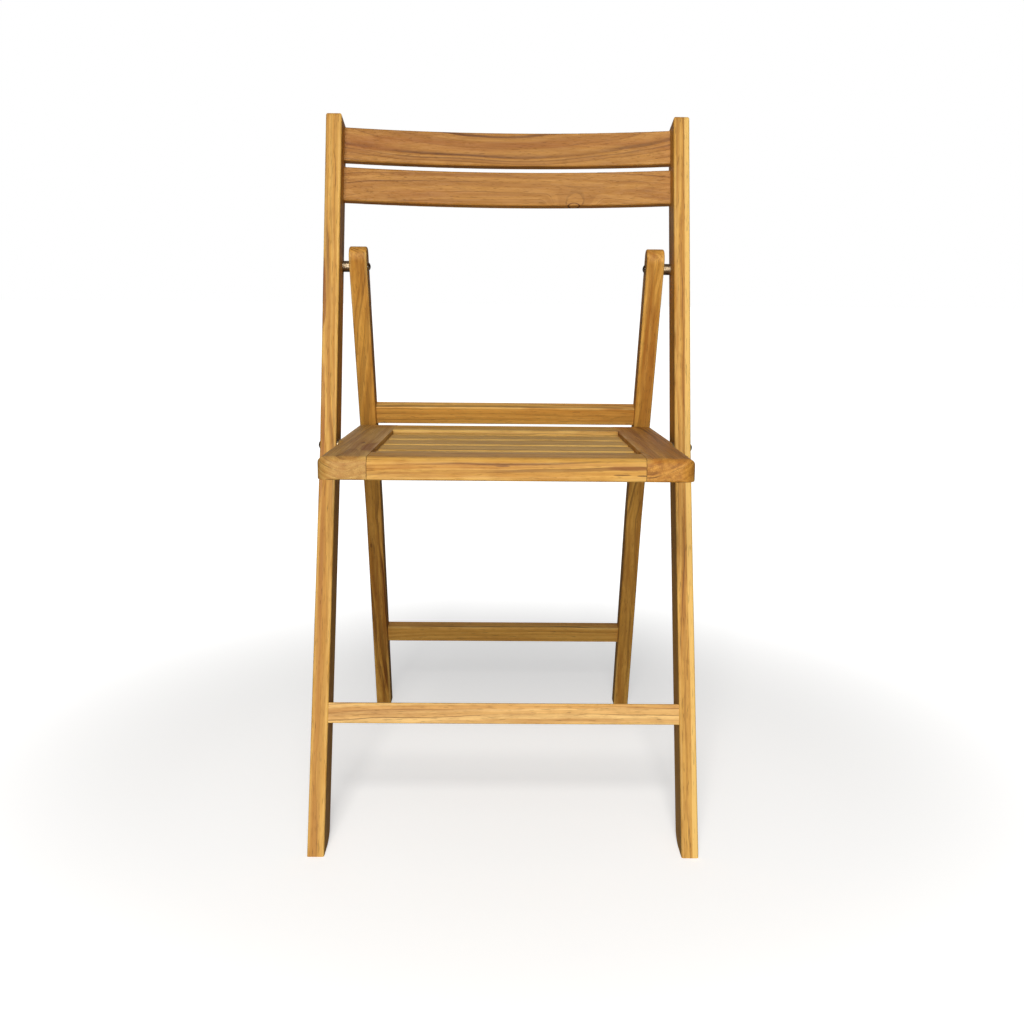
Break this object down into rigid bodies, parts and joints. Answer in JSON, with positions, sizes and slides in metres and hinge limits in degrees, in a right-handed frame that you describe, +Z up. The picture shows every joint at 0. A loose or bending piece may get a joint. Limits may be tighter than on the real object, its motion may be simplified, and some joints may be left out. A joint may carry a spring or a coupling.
{
  "type": "folding chair",
  "caption": "Wooden folding chair with a curved slatted back, a slatted seat hinged between leaning uprights and a bent rear leg frame that swings in to fold.",
  "frame": {"origin": "centre of the whole chair's footprint on the floor", "axes": "+Z up, the chair faces -Y, +X is to the viewer's right when facing the chair"},
  "size_m": [0.4326, 0.5335, 0.8057],
  "materials": {
    "frame_wood": "oiled hardwood, satin, with straight to cathedral grain",
    "rear_wood": "oiled hardwood, satin, darker and redder",
    "seat_wood": "oiled hardwood, satin, worn along the front edge",
    "slat_wood": "oiled hardwood, matt, olive brown",
    "pivot_steel": "dull plated steel"
  },
  "bodies": {
    "front_frame": {"upright_left": "frame_wood", "upright_right": "frame_wood", "back_slat_top": "frame_wood", "back_slat_lower": "frame_wood", "front_stretcher": "frame_wood", "leg_pivot_bolt_left": "pivot_steel", "leg_pivot_bolt_right": "pivot_steel", "leg_pivot_nut_left": "pivot_steel", "leg_pivot_nut_right": "pivot_steel", "leg_pivot_spacer_left": "pivot_steel", "leg_pivot_spacer_right": "pivot_steel", "seat_pivot_spacer_left": "pivot_steel", "seat_pivot_spacer_right": "pivot_steel"},
    "rear_frame": {"rear_leg_left": "rear_wood", "rear_leg_right": "rear_wood", "rear_rail_upper": "rear_wood", "rear_rail_lower": "rear_wood"},
    "seat": {"seat_side_rail_left": "seat_wood", "seat_side_rail_right": "seat_wood", "seat_front_rail": "seat_wood", "seat_slat_1": "slat_wood", "seat_slat_2": "slat_wood", "seat_slat_3": "slat_wood", "seat_slat_4": "slat_wood", "seat_slat_5": "slat_wood", "seat_pivot_screw_left": "pivot_steel", "seat_pivot_screw_right": "pivot_steel", "seat_pivot_insert_left": "pivot_steel", "seat_pivot_insert_right": "pivot_steel"}
  },
  "joints": [
    {"name": "seat_fold", "type": "hinge", "parent": "front_frame", "child": "seat", "pos_m": [0, -0.05135, 0.42699], "axis": [-1, 0, 0], "range_deg": [0, 101]},
    {"name": "rear_frame_fold", "type": "hinge", "parent": "front_frame", "child": "rear_frame", "pos_m": [0, 0.02702, 0.63007], "axis": [-1, 0, 0], "range_deg": [0, 32.2]}
  ],
  "couplings": [
    {"joint": "rear_frame_fold", "follows": "seat_fold", "ratio": 0.3175}
  ]
}
